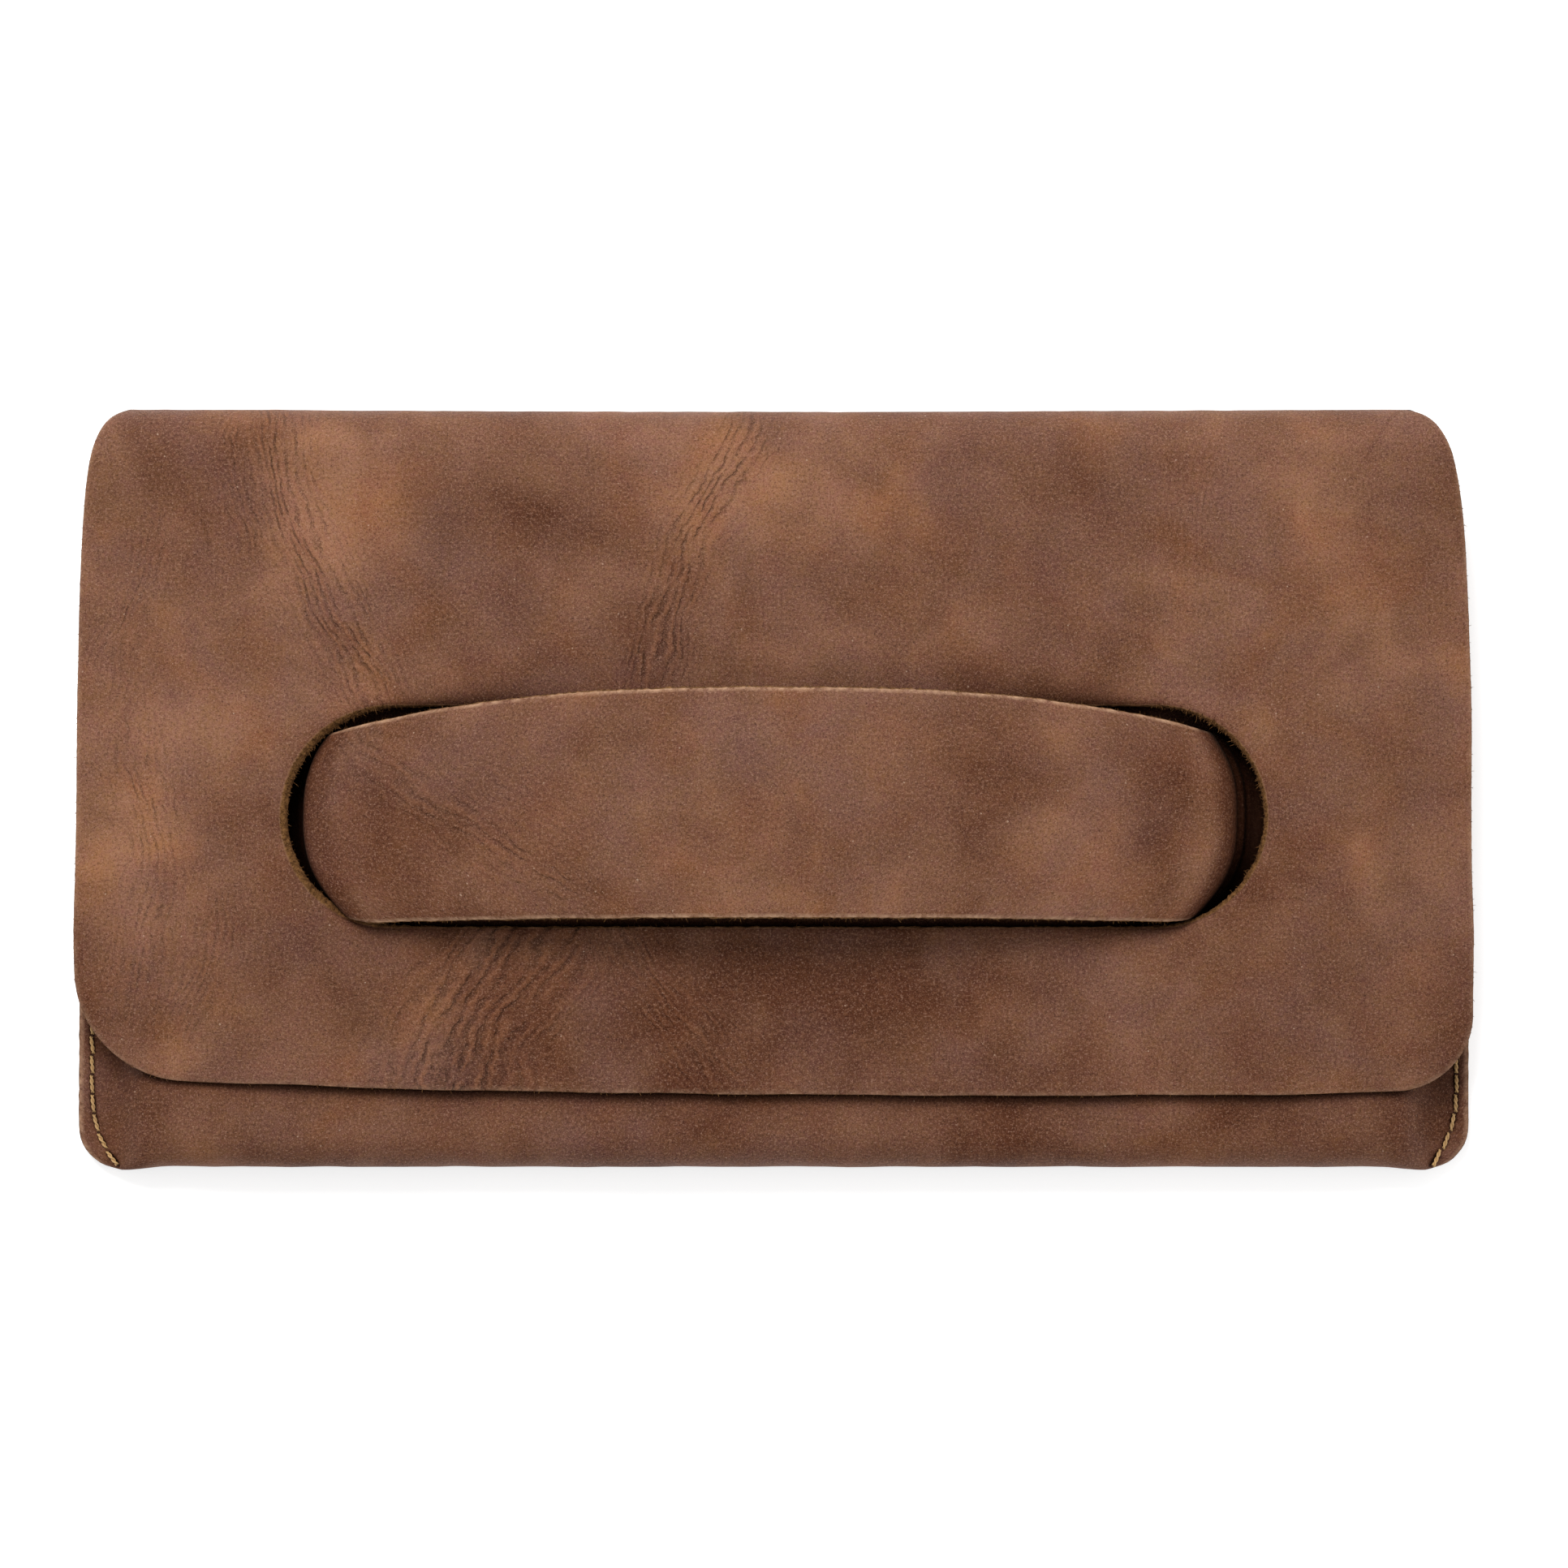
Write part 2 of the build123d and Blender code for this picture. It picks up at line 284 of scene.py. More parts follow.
class Skin:
    """Collects one piece's points, quads and the fields that its material reads."""

    def __init__(self):
        self.points, self.quads, self.caps, self.count = [], [], [], 0
        self.fields = {"flat": [], "flesh": [], "worn": []}

    def grid(self, points, flat, flesh=0.0, worn=0.0, closed=False):
        """Adds a rows by columns grid of points and returns their indices."""
        rows, columns = points.shape[:2]
        ids = self.count + np.arange(rows * columns).reshape(rows, columns)
        self.count += rows * columns
        self.points.append(points.reshape(-1, 3))
        self.fields["flat"].append(np.broadcast_to(flat, points.shape).reshape(-1, 3))
        for key, value in (("flesh", flesh), ("worn", worn)):
            self.fields[key].append(np.broadcast_to(value, (rows, columns)).reshape(-1))
        if rows > 1:
            turned = np.hstack([ids, ids[:, :1]]) if closed else ids
            quads = np.stack([turned[:-1, :-1], turned[:-1, 1:], turned[1:, 1:], turned[1:, :-1]], -1)
            self.quads.append(quads.reshape(-1, 4))
        return ids

    def bridge(self, first, second):
        """Joins two rings of point indices with quads."""
        first, second = np.append(first, first[:1]), np.append(second, second[:1])
        self.quads.append(np.stack([first[:-1], first[1:], second[1:], second[:-1]], -1))

    def wall(self, top_ids, low_ids, top, low, outward, flat, rough, swell, joined):
        """Cut edge of a sheet: rings of points between its two faces' borders, a little rough.

        It stays plain and square where `joined` is 1, because another sheet joins on there.
        """
        rng = np.random.default_rng(7)
        previous = top_ids
        for share in (0.12, 0.35, 0.6, 0.85):
            out = swell * (1 + 1.5 * math.sin(math.pi * share)) + rough * rng.normal(size=len(top))
            row = top + (low - top) * share + outward * (out * (1 - joined))[:, None]
            ids = self.grid(row[None], flat + np.array([0, 0, share * HIDE]), flesh=1.0, worn=1.0)[0]
            self.bridge(previous, ids)
            previous = ids
        self.bridge(previous, low_ids)

    def build(self, name, material, extra=None):
        """Makes the Blender object, with its outward faces out."""
        points = np.vstack(self.points)
        mesh = bpy.data.meshes.new(name)
        faces = np.vstack(self.quads).tolist() + [list(map(int, cap)) for cap in self.caps]
        mesh.from_pydata((points * MM).tolist(), [], faces)
        flat = np.vstack(self.fields["flat"])
        values = {key: np.concatenate(self.fields[key]) for key in ("flesh", "worn")}
        values.update({key: f(flat[:, 0], flat[:, 1]) for key, f in (extra or {}).items()})
        values["flat"] = flat * MM
        for key, value in values.items():
            kind, slot = ("FLOAT_VECTOR", "vector") if value.ndim > 1 else ("FLOAT", "value")
            attribute = mesh.attributes.new(key, kind, "POINT")
            attribute.data.foreach_set(slot, value.astype(np.float32).ravel())
        return finish_mesh(mesh, name, material)


def finish_mesh(mesh, name, material):
    mesh.validate()
    shape = bmesh.new()
    shape.from_mesh(mesh)
    bmesh.ops.recalc_face_normals(shape, faces=shape.faces)
    shape.to_mesh(mesh)
    shape.free()
    mesh.polygons.foreach_set("use_smooth", [True] * len(mesh.polygons))
    mesh.set_sharp_from_angle(angle=SHARP_ANGLE)
    mesh.materials.append(material)
    piece = bpy.data.objects.new(name, mesh)
    bpy.context.scene.collection.objects.link(piece)
    return piece


def crease_point(layer):
    """One layer's crease field, as a vector for the material."""
    return lambda x, v: np.stack(crease_field(x, v, layer), -1)


# What the leather's material reads at each point, besides a skin's own fields.
HIDE_FIELDS = {"tone_and_shade": tone_and_shade_field, "crease_a": crease_point(0), "crease_b": crease_point(1)}
STRAP_FIELDS = HIDE_FIELDS | {"tone_and_shade": strap_tone_and_shade_field}


def unit(vectors):
    return vectors / np.maximum(np.linalg.norm(vectors, axis=-1, keepdims=True), 1e-9)


def grid_normals(points, upper):
    """Unit normals of a grid of points; `upper` is a grid place whose normal points up."""
    normals = unit(np.cross(np.gradient(points, axis=1), np.gradient(points, axis=0)))
    return normals * np.sign(normals[upper][2])


# --- the pouch's shape

def pouch_top(x, y):
    """Outer face of the pouch's front panel, over its margins and its full middle."""
    inwards = (HALF - 4.5) - np.abs(x)
    swell = np.sqrt(1 - (1 - np.clip(inwards / 30, 0, 1)) ** 2)
    rise = swell * smooth(-1.5, 9, inwards)
    slump = 0.35 * noise(x, y, 40, 61) + 1.3 * smooth(20, MOUTH_Y, y) * (1 - bell(x, 120))
    # The strap's sewn ends press the panel in.
    pressed = smooth(70, 86, np.abs(x)) * (1 - smooth(101, 118, np.abs(x)))
    pressed = pressed * (1 - smooth(17, 33, np.abs(y - SLOT_Y)))
    return SEAM_Z + (POUCH_Z - SEAM_Z) * rise - slump * rise - PRESSED * pressed


def side_edge(y, side):
    """Half the hide's width at a height on the flap or round the fold, a little wavy."""
    at_fold = 130.0 if side < 0 else 127.5
    from_fold = np.maximum(FOLD_Y - y, 0)
    drawn = at_fold + (HALF + 0.1 - at_fold) * (1 - np.exp(-(from_fold / 9) ** 0.6))
    return drawn + 0.25 + 0.5 * smooth(15, 32, -y) + 0.25 * noise(y, 50 * side + 0 * y, 26, 71)


def flap_tip(x):
    """Y of the flap's free edge."""
    return -61.6 + 2.4 * ((x - 45) / 150) ** 2 + 0.25 * noise(x, 0 * x, 14, 72)


# --- flap and top fold

def flap_outline(spacing):
    """Pattern points round the flap and the top fold, evenly spaced, starting below the slot."""
    halves = []
    # The flap's left corner is rounder than its right one.
    for side, radius in ((1, 15.0), (-1, 22.0)):
        turn = np.linspace(-math.pi / 2, 0, 60)[1:]
        corner_x = HALF - radius
        tip_x = side * np.linspace(0, corner_x, 120)
        corner_y = flap_tip(side * corner_x) + radius
        arc = np.stack([side * (corner_x + radius * np.cos(turn)), corner_y + radius * np.sin(turn)], 1)
        v = np.linspace(corner_y, FOLD_CY, 100)[1:]
        up = np.stack([side * side_edge(v, side), v], 1)
        arc[:, 0] += side * (side_edge(arc[:, 1], side) - HALF) * smooth(-math.pi / 2, 0, turn)
        roll = np.linspace(0, math.pi, 60)[1:]
        fold_x = side * side_edge(FOLD_CY + FOLD_R * np.sin(roll), side)
        fold = np.stack([fold_x, FOLD_CY + FOLD_R * roll], 1)
        end_x = np.linspace(fold[-1, 0], 0, 100)[1:]
        end = np.stack([end_x, np.full_like(end_x, FOLD_END_V)], 1)
        half = np.vstack([np.stack([tip_x, flap_tip(tip_x)], 1), arc, up, fold, end])
        halves.append(half if side > 0 else half[::-1])
    outline = np.vstack([halves[0], halves[1][1:-1]])
    closed = np.vstack([outline, outline[:1]])
    run = run_along(closed)
    even = np.linspace(0, run[-1], int(run[-1] / spacing), endpoint=False)
    return np.stack([np.interp(even, run, closed[:, k]) for k in (0, 1)], 1)


def slot_point(outer):
    """The slot's edge point straight inwards from each outline point."""
    centre_x = np.clip(outer[:, 0], -SLOT_X, SLOT_X)
    centre = np.stack([centre_x, np.full(len(outer), SLOT_Y)], 1)
    return centre + SLOT_R * unit(outer - centre)


def slot_distance(x, v):
    """Distance outwards from the slot's edge."""
    return np.hypot(np.maximum(np.abs(x) - SLOT_X, 0), v - SLOT_Y) - SLOT_R


def flap_lift(x, v):
    """How far the closed flap stands above the CAD's flat one, before creases."""
    beside = smooth(96, HALF, np.abs(x))
    down = smooth(12, 62, -v)
    droop = -2.4 * down - 3.4 * beside ** 1.5 - 1.2 * beside * down
    near = np.exp(-np.maximum(slot_distance(x, v), 0) / 7.5)
    ends = smooth(SLOT_X - 12, SLOT_X + 10, np.abs(x))
    curl = np.where(x < 0, 2.4, 1.7) * near * ends + 0.5 * near * (1 - ends) * smooth(0, 20, v - SLOT_Y)
    waves = 0.45 * noise(x, v, 42, 81) + 0.5 * noise(x, v, 60, 82) * beside
    return (droop + curl + waves) * (1 - smooth(FOLD_CY - 26, FOLD_CY + 2, v))


def flap_place(x, v, depth):
    """Where a pattern point of the flap or fold lies, depth below its outer face."""
    roll = np.clip((v - FOLD_CY) / FOLD_R, 0, math.pi)
    flat_part = np.minimum(v - FOLD_CY, 0)
    raised = crease_height(x, v) * np.where(depth > 0.5 * HIDE, 0.5, 1.0)
    raised = raised * (1 - smooth(2.0, 2.8, roll)) + 0.05 * noise(x, v, 5, 83)
    radius = FOLD_R - depth + raised
    y = FOLD_CY + flat_part + (radius - 0.5 * bell(x, 90)) * np.sin(roll)
    z = FOLD_R + radius * np.cos(roll) + flap_lift(x, v)
    return np.stack([x, y, z], -1)


def make_flap(material):
    """Flap and top fold in one piece, as rings of points from the slot's edge out to the rim."""
    outer = flap_outline(1.12)
    inner = slot_point(outer)
    length = np.hypot(*(outer - inner).T)
    even = np.linspace(0, 1, 50)[:, None]
    rims = np.array([[0], [0.4]])
    share = np.vstack([rims + 0 * length, 1.1 + (length - 2.2) * even, length - rims[::-1]]) / length
    x = inner[:, 0] + share * (outer - inner)[:, 0]
    v = inner[:, 1] + share * (outer - inner)[:, 1]
    # The fold's far end joins the back panel, so its edge there stays square and sharp.
    joined = (outer[:, 1] > FOLD_END_V - 0.6).astype(float)
    from_edge = np.minimum(share, 1 - share) * length
    at_end = np.where(share > 0.5, joined, 0)
    rounding = 0.34 * (1 - smooth(0, 0.9, from_edge)) * (1 - at_end)
    worn = 0.5 * (1 - smooth(0.1, 0.7, from_edge)) * (1 - at_end) * (share > 0.5)
    top = flap_place(x, v, rounding)
    # The knife leant over at the slot's ends, so the cut slants inwards there.
    lean = np.where(inner[:, 0] < 0, 1.7, 0.8) * smooth(SLOT_X - 14, SLOT_X + 18, np.abs(inner[:, 0]))
    slant = lean * (1 - smooth(0, 6, share * length))
    pull = unit(inner - outer)
    low = flap_place(x + slant * pull[:, 0], v + slant * pull[:, 1], HIDE - rounding)
    flat = np.stack([x, v, 0 * x], -1)
    skin = Skin()
    top_ids = skin.grid(top, flat, worn=worn, closed=True)
    low_ids = skin.grid(low, flat + np.array([0, 0, HIDE]), flesh=1.0, closed=True)
    for ring, beside, square, swell in ((0, 1, 0.0, 0.16), (-1, -2, joined, 0.05)):
        outward = unit(top[ring] - top[beside])
        skin.wall(top_ids[ring], low_ids[ring], top[ring], low[ring], outward, flat[ring],
                  rough=0.6 * swell, swell=swell, joined=square)
    return skin.build("hide_flap", material, HIDE_FIELDS)


# --- pouch

def border(grid):
    """The points or indices round a grid, in order."""
    return np.concatenate([grid[0, :-1], grid[:-1, -1], grid[-1, :0:-1], grid[:0:-1, 0]])


def sheet(name, outer, inner, flat, material, extra=None, worn=0.0, rough=0.04, joined_end=False):
    """A closed sheet between two grids of points, with cut edges all round."""
    skin = Skin()
    top_ids = skin.grid(outer, flat, worn=worn)
    low_ids = skin.grid(inner, flat + np.array([0, 0, HIDE]), flesh=1.0)
    beside = outer.copy()
    beside[0], beside[-1] = outer[1], outer[-2]
    beside[:, 0], beside[:, -1] = outer[:, 1], outer[:, -2]
    joined = np.zeros(outer.shape[:2])
    joined[-1] = joined_end
    skin.wall(border(top_ids), border(low_ids), border(outer), border(inner),
              unit(border(outer) - border(beside)), border(flat), rough=rough, swell=0.06 + rough,
              joined=border(joined))
    return skin.build(name, material, extra)


def make_pouch(material):
    """Front and back in one piece: rows of points from the mouth down, round, and up the back."""
    u = np.linspace(-1, 1, 187)
    u = 0.72 * u + 0.28 * np.sin(math.pi / 2 * u)
    front = np.linspace(0, 1, 96)[:, None]
    turn = np.linspace(0, math.pi, 23)[1:-1, None]
    back = np.linspace(0, 1, 66)[:, None]
    turn_starts, back_starts = len(front), len(front) + len(turn)
    straight_y = BOTTOM_Y + CORNER
    spread = np.vstack([np.ones_like(front), np.abs(np.cos(turn)), np.ones_like(back)])
    row_y = np.vstack([MOUTH_Y + (straight_y - MOUTH_Y) * front, straight_y + 0 * turn,
                       straight_y + (FOLD_CY - straight_y) * back])
    half = np.where(u < 0, side_edge(row_y, -1), side_edge(row_y, 1)) - CORNER * (1 - spread)
    x = u * half
    margin = smooth(122, 133, np.abs(x))
    fold_cy = (BOTTOM_Y + EAR + POUCH_Z / 2) * (1 - margin) + straight_y * margin
    reach = POUCH_Z / 2 * (1 - margin) + CORNER * margin
    angle = np.vstack([0 * front, turn, math.pi + 0 * back]) + 0 * x
    front_cy, turn_cy, back_cy = np.split(fold_cy, [turn_starts, back_starts])
    y = np.vstack([
        MOUTH_Y + (front_cy - MOUTH_Y) * front,
        turn_cy - reach[turn_starts:back_starts] * np.sin(turn),
        back_cy + (FOLD_CY - back_cy) * back,
    ])
    thick = pouch_top(x, np.maximum(y, straight_y))
    flatter = 1 - 0.72 * margin
    z = thick / 2 * (1 + np.sign(np.cos(angle)) * np.abs(np.cos(angle)) ** flatter)
    outer = np.stack([x, y, z], -1)
    steps = np.linalg.norm(np.diff(outer, axis=0), axis=-1)[::-1]
    v = FOLD_END_V + np.vstack([0 * x[:1], np.cumsum(steps, axis=0)])[::-1]
    normals = grid_normals(outer, upper=(10, 90))
    raised = crease_height_pouch(x, v) * (angle < 2.5)
    inner = outer - normals * (HIDE - 0.04)
    from_side = (1 - np.abs(u)) * half
    edge = 1 - smooth(0, 0.9, from_side)
    edge[:2] = 1
    outer = outer + normals * (raised - 0.3 * edge * (angle < 3))[..., None]
    flat = np.stack([x, v, 0 * x], -1)
    return sheet("hide_pouch", outer, inner, flat, material, HIDE_FIELDS, worn=edge, joined_end=True)


def crease_height_pouch(x, v):
    """Faint unevenness of the pouch's leather, and the dip that the side seams pull into it."""
    uneven = 0.12 * noise(x, v, 11, 91, 2) + 0.03 * noise(x, v, 3, 93)
    seam = np.abs(np.abs(x) - SEAM_X)
    pinch = 0.14 * np.cos(2 * math.pi * v / PITCH) * bell(seam - 0.8, 1.3)
    return uneven - 0.35 * bell(seam, 0.9) + 0.12 * bell(seam - 2.0, 1.0) + pinch


# --- hand strap

def strap_path(bend_r, lean):
    """(x, z, length, sewn) along the strap's outer face from its middle to one tab's end.

    The part that goes down through the slot leans outwards by `lean`.
    """
    crown, spring = STRAP_HIGH[2], TOP_Z + 4.6
    rise = crown - spring
    slope = math.atan2(2 * rise, RISER_X)
    span = RISER_X - lean - bend_r * (1 - math.sin(slope))
    x = np.linspace(0, span, 99)
    arch = np.stack([x, crown - rise * (x / span) ** 2], 1)
    turn = np.linspace(slope, math.pi / 2, 5 + int(bend_r))[1:]
    start = arch[-1] - bend_r * np.array([math.sin(slope), math.cos(slope)])
    bend = start + bend_r * np.stack([np.sin(turn), np.cos(turn)], 1)
    foot_r = 1.6
    down_z = np.linspace(bend[-1, 1], POUCH_Z + HIDE + foot_r - PRESSED, 6)[1:]
    down = np.stack([bend[-1, 0] + lean * np.linspace(0.2, 1, 5) ** 1.4, down_z], 1)
    turn = np.linspace(math.pi, 1.5 * math.pi, 6)[1:]
    foot = down[-1] + [foot_r, 0] + foot_r * np.stack([np.cos(turn), np.sin(turn)], 1)
    tab_x = np.linspace(foot[-1, 0], TAB_X, 16)[1:]
    tab = np.stack([tab_x, np.full_like(tab_x, foot[-1, 1])], 1)
    path = np.vstack([arch, bend, down, foot, tab])
    sewn = np.arange(len(path)) >= len(path) - len(tab_x) - 1
    return path[:, 0], path[:, 1], run_along(path), sewn


def strap_edges(x):
    """Y of the strap's lower and upper edges."""
    share = np.clip(np.abs(x) / 89.5, 0, 1)
    upper = 10.9 + 9.1 * (1 - share ** 2.6) + 0.12 * noise(x, 0 * x, 9, 101)
    lower = -25.4 - 1.5 * share ** 2 + 1.2 * smooth(80, 90, np.abs(x)) + 0.12 * noise(x, 0 * x + 9, 9, 102)
    return lower, upper


def make_strap(material):
    left, right = strap_path(4.6, 0.4), strap_path(8.0, 1.6)
    px, z, length, sewn = (np.concatenate([a[:0:-1], b]) for a, b in zip(left, right))
    middle = len(left[0]) - 1
    sign = np.where(np.arange(len(px)) < middle, -1, 1)
    px, length = px * sign, length * sign
    w = np.linspace(-1, 1, 49)[:, None]
    w = 0.85 * w + 0.15 * np.sin(math.pi / 2 * w)
    # The risers follow the round ends of the slot: they stand further in towards both edges.
    tuck = 1 - 0.073 * np.abs(w - 0.1) ** 2.6
    out = smooth(RISER_X - 1, TAB_X, np.abs(px))
    x = px * (tuck * (1 - out) + out)
    lower, upper = strap_edges(x)
    y = (lower + upper) / 2 + w * (upper - lower) / 2
    crowned = 1 - smooth(70, 92, np.abs(px))
    z = z - 0.9 * np.abs(w) ** 2.4 * crowned + 0 * y
    z = np.where(sewn, pouch_top(x, y) + HIDE + 0.08, z)
    flat = np.stack([length + 0 * y, y + STRAP_V, 0 * y], -1)
    outer = np.stack([x, y, z], -1)
    normals = grid_normals(outer, upper=(24, middle))
    bumps = 0.10 * noise(flat[..., 0], y, 12, 103, 2) + 0.5 * crease_height(flat[..., 0], flat[..., 1])
    outer = outer + normals * (bumps * ~sewn)[..., None]
    inner = outer - normals * HIDE
    from_edge = (1 - np.abs(w)) * (upper - lower) / 2
    edge = 1 - smooth(0, 0.7, from_edge)
    outer = outer - normals * (0.25 * edge)[..., None]
    return sheet("hand_strap_leather", outer, inner, flat, material, STRAP_FIELDS, worn=1.4 * edge,
                 rough=0.10)


# --- loose fibres

def fibres(name, roots, out, length, material, seed):
    """Short tapered fibres that stand out of a cut edge."""
    rng = np.random.default_rng(seed)
    skin = Skin()
    angle = np.linspace(0, 2 * math.pi, 3, endpoint=False)
    ring = np.stack([np.cos(angle), np.sin(angle), 0 * angle], -1)
    for root, direction in zip(roots, out):
        lean = unit(direction + rng.normal(0, 0.55, 3))
        curl = rng.normal(0, 0.25, 3)
        reach = length * min(rng.gamma(2.2, 0.42), 1.8)
        across = unit(np.cross(lean, [0.3, 0.2, 0.9]))
        other = np.cross(lean, across)
        rows = []
        for share, radius in ((-0.3, 0.06), (0.3, 0.05), (0.7, 0.04), (1.0, 0.012)):
            middle = root + reach * (share * lean + share * abs(share) * curl)
            rows.append(middle + radius * (ring[:, :1] * across + ring[:, 1:2] * other))
        ids = skin.grid(np.array(rows), np.array(rows), flesh=1.0, worn=1.0, closed=True)
        skin.caps += [ids[0], ids[-1]]
    return skin.build(name, material)


def read_values(items, key, size=1):
    """One property of all of a mesh's items, with a row for each item."""
    values = np.zeros(len(items) * size, np.float32)
    items.foreach_get(key, values)
    return values.reshape(-1, size)


def edge_roots(piece, place_test, count, seed):
    """Random points on a piece's cut edges that pass a test, with the direction each one faces."""
    mesh = piece.data
    points = read_values(mesh.vertices, "co", 3) / MM
    normals = read_values(mesh.vertices, "normal", 3)
    flesh = read_values(mesh.attributes["flesh"].data, "value")[:, 0]
    worn = read_values(mesh.attributes["worn"].data, "value")[:, 0]
    chosen = np.where((worn > 0.9) & (flesh > 0.9) & place_test(points))[0]
    chosen = np.random.default_rng(seed).choice(chosen, min(count, len(chosen)), replace=False)
    return points[chosen], normals[chosen]


def clear_of_strap(points):
    """Points on the flap's rims, except where the strap's lower corners nearly touch the slot."""
    beside = np.hypot(np.abs(points[:, 0]) - (RISER_X - 9), points[:, 1] + 26)
    return (points[:, 2] > 12) & (beside > 7)


def slot_ends(points):
    """Points on the round ends of the slot."""
    from_slot = slot_distance(points[:, 0], points[:, 1])
    return clear_of_strap(points) & (np.abs(points[:, 0]) > SLOT_X - 4) & (from_slot < 3)


def above_flap(points):
    """Points on the part of the strap that is in sight."""
    return points[:, 2] > TOP_Z + 1


def stretch_with_strap(piece):
    """Bakes a piece's placement into its points."""
    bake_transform(piece)


def make_fibres(material, flap, strap):
    tufts = fibres("flap_fibres", *edge_roots(flap, clear_of_strap, 900, 41), 0.35, material, 41)
    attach(tufts, "flap")
    tufts = fibres("slot_fibres", *edge_roots(flap, slot_ends, 420, 43), 0.62, material, 43)
    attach(tufts, "flap")
    tufts = fibres("strap_fibres", *edge_roots(strap, above_flap, 900, 42), 0.4, material, 42)
    stretch_with_strap(tufts)


# --- thread

def tube(skin, centre, radius):
    """A round tube with closed ends along a line of points."""
    tangent = unit(np.gradient(centre, axis=0))
    across = unit(np.cross(tangent, [0.31, 0.17, 0.93]))
    other = np.cross(tangent, across)
    angle = np.linspace(0, 2 * math.pi, 6, endpoint=False)
    ring = np.cos(angle)[:, None] * across[:, None] + np.sin(angle)[:, None] * other[:, None]
    width = np.full(len(centre), radius)
    width[[0, -1]] *= 0.45
    points = centre[:, None] + ring * width[:, None, None]
    flat = np.stack(np.broadcast_arrays(run_along(centre)[:, None], angle * radius, 0.0), -1)
    ids = skin.grid(points, flat, closed=True)
    skin.caps += [ids[0], ids[-1]]


def stitch(skin, start, end, up, thickness, samples):
    """One stitch: two twisted plies that come out of one needle hole and go down the next."""
    run = end - start
    length = np.linalg.norm(run)
    share = np.linspace(0, 1, samples)
    height = 0.25 * np.sin(math.pi * share) ** 0.5 - 0.9 * thickness * np.abs(2 * share - 1) ** 8
    line = start + share[:, None] * run + height[:, None] * up
    side = unit(np.cross(run, up))
    for phase in (0, math.pi):
        twist = phase + share * length * 2 * math.pi / 2.5
        ply = line + 0.26 * thickness * (np.cos(twist)[:, None] * side + np.sin(twist)[:, None] * up)
        tube(skin, ply, 0.27 * thickness)


def stitch_path(points):
    """Needle holes evenly spaced along a line of points."""
    run = run_along(points)
    even = np.linspace(0, run[-1], int(round(run[-1] / PITCH)) + 1)
    return np.stack([np.interp(even, run, points[:, k]) for k in range(3)], 1)


def sew(name, paths, material, seed, samples=15, thickness=0.8):
    """Stitches between the needle holes of several lines, each a little off the last."""
    rng = np.random.default_rng(seed)
    skin = Skin()
    for holes, up in paths:
        up = np.array(up, float)
        for start, end in zip(holes, holes[1:]):
            run = end - start
            # Each stitch slants a little across the seam.
            offset = 0.02 * run + unit(np.cross(run, up)) * rng.normal(0.14, 0.12)
            stitch(skin, start + offset, end - offset, up, thickness, samples)
    return skin.build(name, material)


def painted_hole_shades(name, paths, material):
    """Dark, slightly sunk discs at the ends of the needle holes: painted shade of the holes' insides."""
    skin = Skin()
    radius = 0.28
    angle = np.linspace(0, 2 * math.pi, 10, endpoint=False)
    for holes, up in paths:
        up = np.array(up, float)
        for hole in holes:
            rows = []
            for out, height in ((1.0, -0.35), (1.0, 0.02), (0.7, 0.05), (0.25, 0.0)):
                ring = radius * out * np.stack([np.cos(angle), np.sin(angle), 0 * angle], -1)
                rows.append(hole + ring + up * height)
            grid = np.array(rows)
            ids = skin.grid(grid, grid, closed=True)
            skin.caps += [ids[0], ids[-1]]
    return skin.build(name, material)


def seam_line(side):
    """The side seam on the pouch's front, from the mouth down and round into the bottom corner."""
    y = np.linspace(MOUTH_Y - 3, BOTTOM_Y + 0.9, 120)
    x = SEAM_X - 0.0096 * np.maximum(-62 - y, 0) ** 2.35 + 0.2 * noise(y, 0 * y + 30 * side, 9, 111)
    return side * x, y


def seam_paths(side, pouch):
    """Needle holes of one side seam, on the pouch's front and on its back."""
    x, y = seam_line(side)
    points = np.array([v.co for v in pouch.data.vertices]) / MM
    paths = []
    for up in (1, -1):
        holes = stitch_path(np.stack([x, y, 0 * x], 1))
        for hole in holes:
            near = points[np.hypot(*(points[:, :2] - hole[:2]).T) < 1.4, 2] * up
            hole[2] = up * (near.max() - 0.1)
        paths.append((holes, (0, 0, up)))
    return paths


def tab_seam(side):
    """Line of the box that is stitched on one of the strap's tabs."""
    near, far = TAB_THREAD_LOW[0] + 1.4, TAB_THREAD_HIGH[0] - 0.4
    low, high = TAB_THREAD_LOW[1] + 0.4, TAB_THREAD_HIGH[1] - 0.4
    corners = np.array([(near, low), (far, low), (far, high), (near, high), (near, low)])
    run = np.linspace(0, 1, 30)[:, None]
    line = np.vstack([a * (1 - run) + b * run for a, b in zip(corners, corners[1:])]) * [side, 1]
    return np.hstack([line, pouch_top(line[:, :1], line[:, 1:]) + HIDE])


def make_threads(thread, hole, pouch):
    """The side seams and the strap's seams."""
    pieces = []
    for side, word in ((-1, "left"), (1, "right")):
        paths = seam_paths(side, pouch)
        piece = sew("seam_stitches_" + word, paths, thread, 200 + side)
        pieces.append(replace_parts(piece, "side_thread_" + word))
        # Dark discs at the needle holes: painted shade.
        pieces.append(painted_hole_shades("seam_hole_shades_" + word, paths[:1], hole))
        box = [(stitch_path(tab_seam(side)), (0, 0, 1))]
        piece = sew("strap_stitches_" + word, box, thread, 210 + side)
        pieces.append(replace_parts(piece, "strap_thread_" + word))
    for piece in pieces:
        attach(piece, "case")


# --- inside: pocket and band

CHANNELS = 8
LINES = np.linspace(POCKET_LOW[0] + 2, POCKET_HIGH[0] - 2, CHANNELS + 1)


